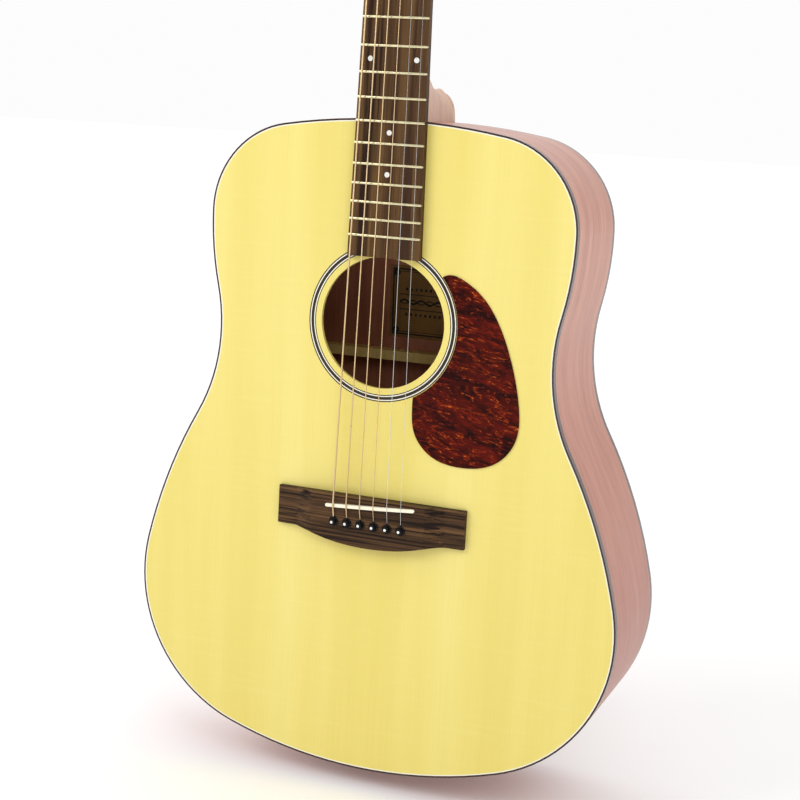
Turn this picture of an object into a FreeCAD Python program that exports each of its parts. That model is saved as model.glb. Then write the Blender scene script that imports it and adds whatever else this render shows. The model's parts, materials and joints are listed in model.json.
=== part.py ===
import FreeCAD, Part
import math
import os

import Sketcher
from FreeCAD import Placement, Rotation, Vector

os.makedirs("parts", exist_ok=True)
doc = FreeCAD.newDocument("acoustic_guitar")

# ---------------------------------------------------------------- driving sizes, mm and degrees
# Working frame: x to the treble side, y from the soundboard's face into the body,
# z up the neck from the 14th fret. The row frame is the same, moved to the end pin's seat.
SIZES = {
    "scale_length": 650, "joint_to_edge": 2.1, "tail_edge": 507.5,
    "depth_neck": 105, "depth_tail": 125, "back_radius": 5000,
    "crown_radius": 520, "crown_sweep": 9.8, "shoulder_radius": 70.6, "shoulder_sweep": 79.6,
    "upper_radius": 244, "upper_sweep": 14.1, "waist_radius": 142, "waist_sweep": 42.5,
    "flank_radius": 408, "flank_sweep": 16.5, "lower_radius": 123.4, "lower_sweep": 84.3,
    "top_thickness": 3, "back_thickness": 2.6, "side_thickness": 2.2,
    "binding_width": 1.4, "binding_height": 6, "back_rebate": 5.5, "purfling_width": 0.9, "purfling_depth": 1.5,
    "lining_width": 6, "lining_height": 14,
    "hole_radius": 50, "hole_centre": 150.5, "rosette_depth": 1.2,
    "rosette_inner": 54.8, "ring_one": 55.5, "ring_two": 56.3, "ring_three": 58.6,
    "ring_four": 59.4, "rosette_outer": 60.3,
    "block_width": 76, "block_length": 45, "tail_block_length": 20,
    "tenon_width": 20, "tenon_length": 18, "tenon_start": 6, "tenon_end": 88,
    "bolt_radius": 3, "bolt_head_radius": 5.5,
    "x_crossing": 237, "x_angle": 49, "x_width": 8, "brace_height": 15, "plate_thickness": 2.5,
    "label_width": 78, "label_height": 60,
    "guard_thickness": 0.9,
    "bridge_height": 9, "bridge_half": 77.5, "bridge_top": 285.5, "bridge_wing": 315.5,
    "wing_height": 3.8, "saddle_length": 73.5, "saddle_width": 2.6, "saddle_top": 12,
    "saddle_slot": 4.5, "saddle_centre": 292, "saddle_slant": 3.75,
    "pin_line": 306.7, "pin_spacing": 11.1, "pin_radius": 2.6, "pin_hole_radius": 2.65,
    "nut_width": 43, "nut_length": 5, "nut_top": 8.6, "nut_spread": 35.5, "saddle_spread": 55.8,
    "joint_width": 55, "board_thickness": 6.5, "board_radius": 406.4, "board_end": 100.7,
    "fret_crown": 1.05, "fret_width": 2.2, "tang_width": 0.6, "tang_depth": 2, "dot_radius": 2,
    "dot_depth": 1.5, "dot_spread": 36.6,
    "neck_depth_nut": 15, "neck_depth_joint": 18.5, "cap_thickness": 2.4,
    "head_angle": 15, "head_thickness": 14, "head_length": 188, "head_low": 60, "head_high": 73,
    "veneer_thickness": 2,
    "rod_radius": 2.5, "rod_depth": 8.5, "rod_nut_radius": 4.2,
    "post_radius": 3, "post_first": 36, "post_spacing": 45, "post_offset": 22.5,
    "post_height": 14, "gear_teeth": 14, "gear_module": 0.9, "gear_width": 3,
    "worm_radius": 2.6, "shaft_radius": 1.6, "thread_height": 0.7, "gear_level": 5,
    "tooth_width": 1.1, "thread_width": 0.95,
}
sheet = doc.addObject("Spreadsheet::Sheet", "Dims")
for row, (alias, value) in enumerate(SIZES.items(), start=1):
    sheet.set(f"A{row}", alias)
    sheet.set(f"B{row}", str(value))
    sheet.setAlias(f"B{row}", alias)
doc.recompute()


def size(alias):
    """Current value of a driving size."""
    return float(sheet.get(alias))


nodes = []


def keep(item, label):
    """Name a finished piece and list it for export."""
    item.Label = label
    nodes.append(item)
    return item


# ---------------------------------------------------------------- sketch and feature helpers
def origin_part(body, role):
    """Origin plane or axis of a body."""
    return next(feature for feature in body.Origin.OriginFeatures if feature.Role == role)


def new_body(name):
    body = doc.addObject("PartDesign::Body", name)
    body.AllowCompound = True
    return body


def add_sketch(body, name, role, start="0"):
    """Sketch on an origin plane of the body, moved along the plane's normal."""
    sketch = body.newObject("Sketcher::SketchObject", name)
    base = origin_part(body, role)
    sketch.AttachmentSupport = [(base, "")]
    sketch.MapMode = "FlatFace"
    sketch.setExpression("AttachmentOffset.Base.z", start)
    return sketch


def draw(sketch, curves):
    for curve in curves:
        sketch.addGeometry(curve, False)
    return sketch


def draw_circle(sketch, centre, radius):
    """Circle whose radius follows an expression in the driving sizes."""
    index = sketch.addGeometry(Part.Circle(Vector(*centre, 0), Vector(0, 0, 1), 1), False)
    rule = sketch.addConstraint(Sketcher.Constraint("Radius", index, 1))
    sketch.setExpression(f"Constraints[{rule}]", radius)


def polygon(points):
    """Closed run of lines through (u, v) points."""
    corners = [Vector(u, v, 0) for u, v in points]
    return [Part.LineSegment(a, b) for a, b in zip(corners, corners[1:] + corners[:1])]


def rectangle(left, low, right, high):
    return polygon([(left, low), (right, low), (right, high), (left, high)])


def add_pad(body, sketch, length, reverse=False, both=False):
    pad = body.newObject("PartDesign::Pad", sketch.Name + "_pad")
    pad.Profile = sketch
    pad.Reversed = reverse
    pad.Midplane = both
    pad.setExpression("Length", length)
    return pad


def add_pocket(body, sketch, length, reverse=False, both=False):
    pocket = body.newObject("PartDesign::Pocket", sketch.Name + "_pocket")
    pocket.Profile = sketch
    pocket.Reversed = reverse
    pocket.Midplane = both
    pocket.setExpression("Length", length)
    return pocket


def slab(body, name, curves, start, length):
    """Pad a front-view sketch (x, z) from y = start over length."""
    sketch = draw(add_sketch(body, name, "XZ_Plane", f"-({start})"), curves)
    return add_pad(body, sketch, length, reverse=True)


def sink(body, name, curves, start, length):
    """Pocket a front-view sketch (x, z) from y = start over length."""
    sketch = draw(add_sketch(body, name, "XZ_Plane", f"-({start})"), curves)
    return add_pocket(body, sketch, length)


def drill(body, name, centres, radius, start, length):
    """Pocket round holes through the front view from y = start over length."""
    sketch = add_sketch(body, name, "XZ_Plane", f"-({start})")
    for centre in centres:
        draw_circle(sketch, centre, radius)
    return add_pocket(body, sketch, length)


def combine(kind, name, base, tool):
    """Part::Cut, Part::Common or Part::Fuse of two objects."""
    result = doc.addObject("Part::" + kind, name)
    result.Base = base
    result.Tool = tool
    return result


def gather(name, items):
    group = doc.addObject("Part::Compound", name)
    group.Links = items
    return group


def block(name, low, sizes):
    """Box from its low corner; sizes are three expressions."""
    box = doc.addObject("Part::Box", name)
    for field, rule in zip(("Length", "Width", "Height"), sizes):
        box.setExpression(field, rule)
    box.Placement = Placement(Vector(*low), Rotation())
    return box


def rod(name, radius, length, base, direction):
    """Cylinder from base along direction."""
    cylinder = doc.addObject("Part::Cylinder", name)
    cylinder.setExpression("Radius", radius)
    cylinder.setExpression("Height", length)
    cylinder.Placement = Placement(Vector(*base), Rotation(Vector(0, 0, 1), Vector(*direction)))
    return cylinder


# ---------------------------------------------------------------- body outline
def outline_chain():
    """Centre, signed radius and headings of the outline's tangent arcs, crown to tail."""
    turns = [(size(part + "_radius"), size(part + "_sweep"))
             for part in ("crown", "shoulder", "upper", "waist", "flank", "lower")]
    turns[3] = (-turns[3][0], -turns[3][1])
    x, z, heading = 0.0, size("joint_to_edge"), 0.0
    chain = []
    for radius, sweep in turns:
        centre = (x + radius * math.sin(heading), z - radius * math.cos(heading))
        after = heading - math.radians(sweep)
        chain.append((centre, radius, heading, after))
        x = centre[0] - radius * math.sin(after)
        z = centre[1] + radius * math.cos(after)
        heading = after
    tail_radius = -x / math.sin(heading)
    chain.append(((0.0, z - tail_radius * math.cos(heading)), tail_radius, heading, -math.pi))
    return chain


CHAIN = outline_chain()
TAIL_Z = CHAIN[-1][0][1] - CHAIN[-1][1]


def half_outline(inset, side):
    """Arcs of one half of the outline, moved inwards by inset; side is 1 or -1."""
    arcs = []
    for centre, radius, before, after in CHAIN:
        reach = radius - inset
        quarter = math.copysign(math.pi / 2, reach)
        low, high = sorted((before + quarter, after + quarter))
        if side < 0:
            low, high = math.pi - high, math.pi - low
        circle = Part.Circle(Vector(side * centre[0], centre[1], 0), Vector(0, 0, 1), abs(reach))
        arcs.append(Part.ArcOfCircle(circle, low, high))
    return arcs


def outline(inset):
    return half_outline(inset, 1) + half_outline(inset, -1)


def ring(outer, inner):
    return outline(outer) + outline(inner)


def half_ring(outer, inner, side):
    """Strip between two insets on one side of the centre line."""
    top = size("joint_to_edge")
    ends = [Part.LineSegment(Vector(0, top - outer, 0), Vector(0, top - inner, 0)),
            Part.LineSegment(Vector(0, TAIL_Z + outer, 0), Vector(0, TAIL_Z + inner, 0))]
    return half_outline(outer, side) + half_outline(inner, side) + ends


def outline_prism(name, inset, start="-20", length="160"):
    body = new_body(name)
    slab(body, name + "_outline", outline(inset), start, length)
    return body


def back_centre():
    """Centre of the back's spherical arch, from the depths at the two ends."""
    low = Vector(0, size("depth_neck"), size("joint_to_edge"))
    high = Vector(0, size("depth_tail"), TAIL_Z)
    chord = high - low
    towards = Vector(0, chord.z, -chord.y).normalize()
    reach = math.sqrt(size("back_radius") ** 2 - (chord.Length / 2) ** 2)
    return (low + high) * 0.5 + towards * reach


def dome(name, below):
    """Sphere of the back's arch, below mm under its outer face."""
    ball = doc.addObject("Part::Sphere", name)
    ball.setExpression("Radius", f"Dims.back_radius - ({below})")
    ball.Placement = Placement(back_centre(), Rotation())
    return ball


def arched(name, blank, above, below):
    """Part of a blank that lies between two depths under the back's outer face."""
    held = combine("Common", name + "_held", blank, dome(name + "_above", above))
    return combine("Cut", name, held, dome(name + "_below", below))


def back_depth(x, z, below=0.0):
    """y of the arched back at (x, z), below mm under its outer face."""
    centre = back_centre()
    radius = size("back_radius") - below
    return centre.y + math.sqrt(radius ** 2 - x ** 2 - (z - centre.z) ** 2)


HOLE = (0, -size("hole_centre"))
BINDING = size("binding_width")
PURFLING = BINDING + size("purfling_width")
SIDE = size("side_thickness")
LINING = SIDE + size("lining_width")
PIN_X = [size("pin_spacing") * (number - 2.5) for number in range(6)]
PIN_Z = -size("pin_line")
PINS = [(x, PIN_Z) for x in PIN_X]
STRING_RADIUS = [0.67, 0.53, 0.41, 0.31, 0.21, 0.16]
SLOT_REACH = 5.5

# ---------------------------------------------------------------- rims, blocks and back
back_ring = new_body("back_binding_blank")
slab(back_ring, "back_binding_outline", ring(0, BINDING), "80", "60")
keep(arched("back_binding_piece", back_ring, "0", "Dims.back_rebate"), "back_binding")

back_blank = new_body("back_blank")
slab(back_blank, "back_outline", outline(BINDING + 0.02), "80", "60")
back = keep(arched("back_piece", back_blank, "0", "Dims.back_thickness"), "back")

neck_slot = block("neck_slot", (-size("tenon_width") / 2, size("tenon_start"), -size("tenon_length")),
                  ("Dims.tenon_width", "Dims.tenon_end - Dims.tenon_start", "Dims.tenon_length + 5"))
end_pin_way = rod("end_pin_way", "5", "40", (0, size("depth_tail") / 2, TAIL_Z - 5), (0, 0, 1))
rod_way = rod("rod_way", "3", "70", (0, size("rod_depth"), -60), (0, 0, 1))

for label, side in (("side_bass", -1), ("side_treble", 1)):
    inner = new_body(label + "_inner_blank")
    slab(inner, label + "_inner_outline", half_ring(BINDING, SIDE, side), "Dims.top_thickness", "130")
    outer = new_body(label + "_outer_blank")
    slab(outer, label + "_outer_outline", half_ring(0, BINDING, side), "Dims.binding_height", "130")
    tall = combine("Common", label + "_tall", inner, dome(label + "_dome", "Dims.back_thickness"))
    short = combine("Common", label + "_short", outer, dome(label + "_ledge", "Dims.back_rebate"))
    rib = combine("Fuse", label + "_rib", tall, short)
    notched = combine("Cut", label + "_notched", rib, neck_slot)
    keep(combine("Cut", label + "_piece", notched, end_pin_way), label)

inside = outline_prism("inside_ribs", SIDE)
cavity = outline_prism("inside_linings", LINING + 0.1)
under_back = dome("under_back", "Dims.back_thickness")
rib_space = combine("Common", "rib_space", inside, under_back)

neck_block_box = block("neck_block_box", (-size("block_width") / 2, size("top_thickness"),
                                          -size("block_length")),
                       ("Dims.block_width", "130", "Dims.block_length + 10"))
tail_block_box = block("tail_block_box", (-size("block_width") / 2, size("top_thickness"), TAIL_Z - 5),
                       ("Dims.block_width", "130", "Dims.tail_block_length + 5"))
blocks = gather("block_boxes", [neck_block_box, tail_block_box])

BOLT_DEPTHS = (30, 68)
bolt_ways = gather("bolt_ways", [
    rod(f"bolt_way_{count}", "Dims.bolt_radius", "44", (0, depth, -size("block_length") - 5),
        (0, 0, 1)) for count, depth in enumerate(BOLT_DEPTHS)])
neck_block_solid = combine("Common", "neck_block_solid", neck_block_box, rib_space)
neck_block_slotted = combine("Cut", "neck_block_slotted", neck_block_solid, neck_slot)
neck_block_bored = combine("Cut", "neck_block_bored", neck_block_slotted, bolt_ways)
keep(combine("Cut", "neck_block_piece", neck_block_bored, rod_way), "neck_block")
tail_block_solid = combine("Common", "tail_block_solid", tail_block_box, rib_space)
keep(combine("Cut", "tail_block_piece", tail_block_solid, end_pin_way), "tail_block")

top_lining_ring = new_body("top_lining_ring")
slab(top_lining_ring, "top_lining_outline", ring(SIDE, LINING), "Dims.top_thickness",
     "Dims.lining_height")
keep(combine("Cut", "top_lining_piece", top_lining_ring, blocks), "top_linings")
back_lining_ring = new_body("back_lining_ring")
slab(back_lining_ring, "back_lining_outline", ring(SIDE, LINING), "80", "60")
back_lining = arched("back_lining", back_lining_ring, "Dims.back_thickness",
                     "Dims.back_thickness + Dims.lining_height")
keep(combine("Cut", "back_lining_piece", back_lining, blocks), "back_linings")

# ---------------------------------------------------------------- back braces and label
BACK_BARS = ((-68, 8), (-190, 8), (-312, 16), (-420, 16))
bars = gather("back_bar_boxes", [
    block(f"back_bar_{count}", (-210, 70, z - width / 2), ("420", "70", str(width)))
    for count, (z, width) in enumerate(BACK_BARS)])
back_bars = arched("back_bars", bars, "Dims.back_thickness", "Dims.back_thickness + Dims.brace_height")
keep(combine("Common", "back_brace_piece", back_bars, cavity), "back_braces")

LABEL_LOW = -176
label_box = block("label_box", (-size("label_width") / 2, 70, LABEL_LOW),
                  ("Dims.label_width", "70", "Dims.label_height"))
keep(arched("label_piece", label_box, "Dims.back_thickness", "Dims.back_thickness + 0.2"), "label")

# ---------------------------------------------------------------- soundboard and its trim
soundboard = new_body("soundboard_body")
slab(soundboard, "soundboard_face", outline(PURFLING), "0", "Dims.purfling_depth")
slab(soundboard, "soundboard_under", outline(BINDING), "Dims.purfling_depth",
     "Dims.top_thickness - Dims.purfling_depth")
drill(soundboard, "sound_hole", [HOLE], "Dims.hole_radius", "-1", "Dims.top_thickness + 2")
channel = add_sketch(soundboard, "rosette_channel", "XZ_Plane")
draw_circle(channel, HOLE, "Dims.rosette_outer")
draw_circle(channel, HOLE, "Dims.rosette_inner")
add_pocket(soundboard, channel, "Dims.rosette_depth")
drill(soundboard, "top_pin_holes", PINS, "Dims.pin_hole_radius", "-1", "Dims.top_thickness + 2")


def string_slots():
    """Narrow slots from the pin holes towards the saddle, one for each string."""
    curves = []
    for x, radius in zip(PIN_X, STRING_RADIUS):
        curves += rectangle(x - radius - 0.15, PIN_Z, x + radius + 0.15, PIN_Z + SLOT_REACH)
    return curves


sink(soundboard, "top_string_slots", string_slots(), "-1", "Dims.top_thickness + 2")
keep(soundboard, "soundboard")

top_binding = new_body("top_binding_body")
slab(top_binding, "top_binding_outline", ring(0, BINDING), "0", "Dims.binding_height")
keep(top_binding, "top_binding")
top_purfling = new_body("top_purfling_body")
slab(top_purfling, "top_purfling_outline", ring(BINDING, PURFLING), "0", "Dims.purfling_depth")
keep(top_purfling, "top_purfling")


def add_rings(label, pairs):
    """Inlaid rings round the sound hole, each between two radii."""
    body = new_body(label + "_body")
    sketch = add_sketch(body, label + "_rings", "XZ_Plane")
    for inner, outer in pairs:
        draw_circle(sketch, HOLE, "Dims." + inner)
        draw_circle(sketch, HOLE, "Dims." + outer)
    add_pad(body, sketch, "Dims.rosette_depth", reverse=True)
    keep(body, label)


add_rings("rosette_light", (("ring_one", "ring_two"), ("ring_three", "ring_four")))
add_rings("rosette_dark", (("rosette_inner", "ring_one"), ("ring_two", "ring_three"),
                           ("ring_four", "rosette_outer")))

# ---------------------------------------------------------------- soundboard braces
def brace(name, start, end, width, height="Dims.brace_height"):
    """Straight bar under the soundboard between two front-view points."""
    run = Vector(end[0] - start[0], 0, end[1] - start[1])
    bar = block(name, (0, 0, 0), (str(run.Length), height, width))
    turn = Rotation(Vector(0, 1, 0), -math.degrees(math.atan2(run.z, run.x)))
    shift = turn.multVec(Vector(0, 0, -size("x_width") / 2))
    bar.Placement = Placement(Vector(start[0], size("top_thickness"), start[1]) + shift, turn)
    return bar


lean = math.radians(size("x_angle"))
along = (260 * math.sin(lean), 260 * math.cos(lean))
cross = -size("x_crossing")
leg_one = brace("x_leg_one", (-along[0], cross + along[1]), (along[0], cross - along[1]), "Dims.x_width")
leg_two = brace("x_leg_two", (along[0], cross + along[1]), (-along[0], cross - along[1]), "Dims.x_width")
half = size("brace_height") / 2
lap_front = block("lap_front", (-15, size("top_thickness") - 1, cross - 15), ("30", str(half + 1), "30"))
lap_back = block("lap_back", (-15, size("top_thickness") + half, cross - 15), ("30", str(half + 1), "30"))
joint_one = combine("Common", "lap_one", leg_two, lap_front)
joint_two = combine("Common", "lap_two", leg_one, lap_back)
legs = gather("x_legs", [combine("Cut", "lapped_one", leg_one, joint_one),
                         combine("Cut", "lapped_two", leg_two, joint_two)])
keep(combine("Common", "x_brace_piece", legs, cavity), "x_braces")

upper_bar = brace("upper_bar", (-150, -80), (150, -80), "Dims.x_width")
upper_bored = combine("Cut", "upper_bar_bored", upper_bar,
                      rod("key_way", "4.5", "30", (0, size("rod_depth"), -95), (0, 0, 1)))
others = [upper_bored, brace("tone_bar_one", (74, -340), (-96, -436), "Dims.x_width", "10"),
          brace("tone_bar_two", (104, -372), (-20, -470), "Dims.x_width", "10")]
for side in (-1, 1):
    others.append(brace(f"finger_upper_{side + 1}", (side * 62, -262), (side * 170, -246),
                        "Dims.x_width", "8"))
    others.append(brace(f"finger_lower_{side + 1}", (side * 104, -304), (side * 200, -304),
                        "Dims.x_width", "8"))
keep(combine("Common", "soundboard_brace_piece", gather("plain_bars", others), cavity),
     "soundboard_braces")

plate_outline = polygon([(-46, -283), (46, -283), (74, -326), (-74, -326)])
bridge_plate = new_body("bridge_plate_body")
slab(bridge_plate, "bridge_plate_outline", plate_outline, "Dims.top_thickness", "Dims.plate_thickness")
drill(bridge_plate, "plate_pin_holes", PINS, "Dims.pin_hole_radius", "2", "5")
sink(bridge_plate, "plate_string_slots", string_slots(), "2", "5")
keep(bridge_plate, "bridge_plate")

# ---------------------------------------------------------------- pickguard
GUARD_EDGE = [(51.8, -109.4), (64.9, -113.2), (80, -124.6), (95, -147), (105.4, -173.5), (111.8, -200),
              (111, -229), (97, -246.6), (71, -253.1), (45.4, -247.4), (31, -230.6), (28.5, -214)]


def guard_outline():
    """Free edge as a smooth curve, closed by an arc round the rosette."""
    reach = size("rosette_outer") + 0.5
    centre = Vector(HOLE[0], HOLE[1], 0)
    ends = [math.radians(40), math.radians(-62)]
    points = [centre + Vector(reach * math.cos(a), reach * math.sin(a), 0) for a in ends]
    spline = Part.BSplineCurve()
    spline.interpolate([points[0]] + [Vector(x, z, 0) for x, z in GUARD_EDGE] + [points[1]])
    circle = Part.Circle(centre, Vector(0, 0, 1), reach)
    return [spline, Part.ArcOfCircle(circle, ends[1], ends[0])]


pickguard = new_body("pickguard_body")
slab(pickguard, "pickguard_outline", guard_outline(), "-Dims.guard_thickness", "Dims.guard_thickness")
keep(pickguard, "pickguard")

# ---------------------------------------------------------------- bridge, saddle and pins
def bridge_outline():
    """Belly bridge: straight front edge, straight wing ends and a bellied back edge."""
    side, top, wing = size("bridge_half"), -size("bridge_top"), -size("bridge_wing")
    right = [(66, 0), (59, 0.3), (50, 2), (39, 4.9), (26, 7.5), (13, 8.9)]
    drops = right + [(0, 9.3)] + [(-x, drop) for x, drop in reversed(right)]
    belly = Part.BSplineCurve()
    belly.interpolate(Points=[Vector(x, wing - drop, 0) for x, drop in drops],
                      InitialTangent=Vector(-1, 0, 0), FinalTangent=Vector(-1, 0, 0))
    corners = [(-66, wing), (-side, wing), (-side, top), (side, top), (side, wing), (66, wing)]
    return polygon(corners)[:-1] + [belly]


def saddle_bar(name, low, gap, height):
    """Slanted round-ended bar on the saddle line, gap larger than the saddle, standing on y = low."""
    reach, radius = (size("saddle_length") - size("saddle_width")) / 2, size("saddle_width") / 2 + gap
    bar = new_body(name)
    outline_of_bar = [
        Part.LineSegment(Vector(-reach, radius, 0), Vector(reach, radius, 0)),
        Part.Arc(Vector(reach, radius, 0), Vector(reach + radius, 0, 0), Vector(reach, -radius, 0)),
        Part.LineSegment(Vector(reach, -radius, 0), Vector(-reach, -radius, 0)),
        Part.Arc(Vector(-reach, -radius, 0), Vector(-reach - radius, 0, 0), Vector(-reach, radius, 0))]
    slab(bar, name + "_outline", outline_of_bar, "0", height)
    turn = Rotation(Vector(0, 1, 0), -size("saddle_slant"))
    bar.Placement = Placement(Vector(1.7, low, -size("saddle_centre")), turn)
    return bar


bridge = new_body("bridge_body")
slab(bridge, "bridge_base", bridge_outline(), "-Dims.bridge_height", "Dims.bridge_height")
wings = add_sketch(bridge, "wing_scoops", "XY_Plane", "-330")
for side in (-1, 1):
    rise, low = -size("bridge_height"), -size("wing_height")
    scoop = [Vector(side * 46, rise, 0), Vector(side * 54, rise * 0.78, 0), Vector(side * 62, low - 0.5, 0)]
    edge = Vector(side * 79, low, 0)
    out = Vector(side * 79, rise - 1, 0)
    top = Vector(side * 46, rise - 1, 0)
    draw(wings, [Part.Arc(*scoop), Part.LineSegment(scoop[2], edge), Part.LineSegment(edge, out),
                 Part.LineSegment(out, top), Part.LineSegment(top, scoop[0])])
add_pocket(bridge, wings, "60", reverse=True)
drill(bridge, "bridge_pin_holes", PINS, "Dims.pin_hole_radius", "-12", "14")
sink(bridge, "bridge_string_slots", string_slots(), "-12", "14")
slot = saddle_bar("saddle_slot", -size("bridge_height") - 1, 0.05, "Dims.saddle_slot + 1")
keep(combine("Cut", "bridge_piece", bridge, slot), "bridge")
saddle_blank = saddle_bar("saddle_blank", -size("saddle_top"), 0,
                          "Dims.saddle_top - Dims.bridge_height + Dims.saddle_slot")
crown_axis = (0, size("board_radius") - size("saddle_top"), -size("saddle_centre") - 20)
saddle_crown = rod("saddle_crown", "Dims.board_radius", "40", crown_axis, (0, 0, 1))
keep(combine("Common", "saddle_piece", saddle_blank, saddle_crown), "saddle")

pin = new_body("bridge_pin_body")
profile = add_sketch(pin, "pin_profile", "YZ_Plane", str(PIN_X[0]))
radius, low, tip = size("pin_radius"), -size("bridge_height"), 17.5
skirt, ball = 3.9, 2.85
foot = Vector(low - 1, PIN_Z + math.sqrt(ball ** 2 - 1.1 ** 2), 0)
crown = Vector(low - 4.6, PIN_Z + math.sqrt(ball ** 2 - 2.5 ** 2), 0)
draw(profile, [
    Part.LineSegment(Vector(low, PIN_Z + radius, 0), Vector(low, PIN_Z + skirt, 0)),
    Part.Arc(Vector(low, PIN_Z + skirt, 0), Vector(low - 0.65, PIN_Z + skirt - 0.25, 0), foot),
    Part.Arc(foot, Vector(low - 2.1, PIN_Z + ball, 0), crown),
    Part.LineSegment(crown, Vector(crown.x, PIN_Z, 0)),
    Part.LineSegment(Vector(crown.x, PIN_Z, 0), Vector(tip, PIN_Z, 0)),
    Part.LineSegment(Vector(tip, PIN_Z, 0), Vector(tip, PIN_Z + 2.1, 0)),
    Part.LineSegment(Vector(tip, PIN_Z + 2.1, 0), Vector(low, PIN_Z + radius, 0))])
axis = add_sketch(pin, "pin_axis", "YZ_Plane", str(PIN_X[0]))
draw(axis, [Part.LineSegment(Vector(-20, PIN_Z, 0), Vector(20, PIN_Z, 0))])
turned = pin.newObject("PartDesign::Revolution", "pin_turned")
turned.Profile = profile
turned.ReferenceAxis = (axis, ["Edge1"])
turned.Angle = 360
repeat = pin.newObject("PartDesign::LinearPattern", "pin_row")
repeat.Originals = [turned]
repeat.Direction = (origin_part(pin, "X_Axis"), [""])
repeat.setExpression("Length", "5 * Dims.pin_spacing")
repeat.Occurrences = 6
pin.Tip = repeat
keep(pin, "bridge_pins")

# ---------------------------------------------------------------- neck
def neck_section(body, name, z, width, depth):
    """Shallow C section of the neck at height z, flat where the fingerboard lies."""
    sketch = add_sketch(body, name, "XY_Plane", str(z))
    half = width / 2
    back = Part.Arc(Vector(half, 0, 0), Vector(0, depth, 0), Vector(-half, 0, 0))
    return draw(sketch, [back, Part.LineSegment(Vector(-half, 0, 0), Vector(half, 0, 0))])


def heel_section(body, name, depth, width, nose, fullness):
    """Section of the heel seen from the front at one depth, pointed at 0 and rounded at 1."""
    sketch = add_sketch(body, name, "XZ_Plane", str(-depth))
    edge = Part.BSplineCurve()
    half = width / 2
    low = -2
    flank, shoulder = half * (0.9 + 0.07 * fullness), half * (0.4 + 0.26 * fullness)
    edge.interpolate([Vector(half, low, 0), Vector(flank, nose * 0.3, 0),
                      Vector(shoulder, nose * 0.8, 0), Vector(0, nose, 0),
                      Vector(-shoulder, nose * 0.8, 0), Vector(-flank, nose * 0.3, 0),
                      Vector(-half, low, 0)])
    return draw(sketch, [edge, Part.LineSegment(Vector(-half, low, 0), Vector(half, low, 0))])


def add_loft(body, name, sections):
    loft = body.newObject("PartDesign::AdditiveLoft", name)
    loft.Profile = sections[0]
    loft.Sections = sections[1:]
    return loft


NUT_Z = size("scale_length") - 289.6
HEAD_Z = NUT_Z + size("nut_length")


def board_width(z):
    """Neck and fingerboard width at height z."""
    grow = (size("joint_width") - size("nut_width")) / NUT_Z
    return size("nut_width") + grow * (NUT_Z - z)


def neck_depth(z):
    """Depth of the wood behind the fingerboard at height z."""
    fall = (size("neck_depth_joint") - size("neck_depth_nut")) / HEAD_Z
    return size("neck_depth_joint") - fall * z


HEEL = ((2, 53, 83, 0), (10, 52.4, 75, 0.1), (19, 50, 62, 0.2), (29, 45, 49, 0.6), (46, 36.5, 37, 0.9),
        (66, 29.5, 29.8, 0.9), (86, 25.5, 26.4, 0.9), (102.6, 23, 24.8, 0.9))
neck_shaft = new_body("neck_shaft")
add_loft(neck_shaft, "shaft_loft", [
    neck_section(neck_shaft, f"shaft_at_{z}", z, board_width(z), neck_depth(z))
    for z in (-2, 120, 240, HEAD_Z)])
neck_heel = new_body("neck_heel")
add_loft(neck_heel, "heel_loft", [
    heel_section(neck_heel, f"heel_at_{count}", *row) for count, row in enumerate(HEEL)])

HEAD = Placement(Vector(0, 0, HEAD_Z), Rotation(Vector(1, 0, 0), -size("head_angle")))
POSTS = [(side * size("post_offset"), size("post_first") + size("post_spacing") * step, side)
         for side, steps in ((-1, (0, 1, 2)), (1, (2, 1, 0))) for step in steps]


def head_outline():
    """Flared headstock with straight tapering edges and a shallow arched end."""
    nut, low, high = size("nut_width") / 2, size("head_low") / 2, size("head_high") / 2
    top = size("head_length")
    curves = []
    for side in (-1, 1):
        foot = Vector(side * nut, 0, 0)
        neck_end = Vector(side * nut, 5, 0)
        hip = Vector(side * low, 19, 0)
        shoulder = Vector(side * high, top - 4, 0)
        curves += [Part.LineSegment(foot, neck_end),
                   Part.Arc(neck_end, Vector(side * (nut + 2.6), 12.8, 0), hip),
                   Part.LineSegment(hip, shoulder)]
    curves.append(Part.Arc(Vector(-high, top - 4, 0), Vector(0, top, 0), Vector(high, top - 4, 0)))
    curves.append(Part.LineSegment(Vector(-nut, 0, 0), Vector(nut, 0, 0)))
    return curves


post_points = [(x, z) for x, z, side in POSTS]
SCREWS = [(x + side * dx, z + dz) for x, z, side in POSTS for dx, dz in ((-1, 10), (-1, -14.5))]
head_wood = new_body("head_wood")
slab(head_wood, "head_outline", head_outline(), "0", "Dims.head_thickness")
drill(head_wood, "post_bores", post_points, "4.6", "-5", "30")
drill(head_wood, "screw_bores", SCREWS, "1.1", "Dims.head_thickness - 7", "10")
head_wood.Placement = HEAD
raw_neck = doc.addObject("Part::MultiFuse", "raw_neck")
raw_neck.Shapes = [neck_shaft, neck_heel, head_wood]
ribs_out = outline_prism("outside_ribs", 0)
fitted_neck = combine("Cut", "fitted_neck", raw_neck, ribs_out)
tenon = block("tenon", (-size("tenon_width") / 2 + 0.05, size("tenon_start"),
                        -size("tenon_length") + 0.1),
              ("Dims.tenon_width - 0.1", "Dims.tenon_end - Dims.tenon_start", "Dims.tenon_length + 8"))
joined_neck = combine("Fuse", "joined_neck", fitted_neck, tenon)
rod_channel = block("rod_channel", (-size("rod_radius") - 0.1, -1, -30),
                    ("2 * Dims.rod_radius + 0.2", "Dims.rod_depth + Dims.rod_radius + 1.1", "378"))
channelled = combine("Cut", "channelled_neck", joined_neck, rod_channel)
keep(combine("Cut", "neck_piece", channelled, bolt_ways), "neck")

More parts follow.
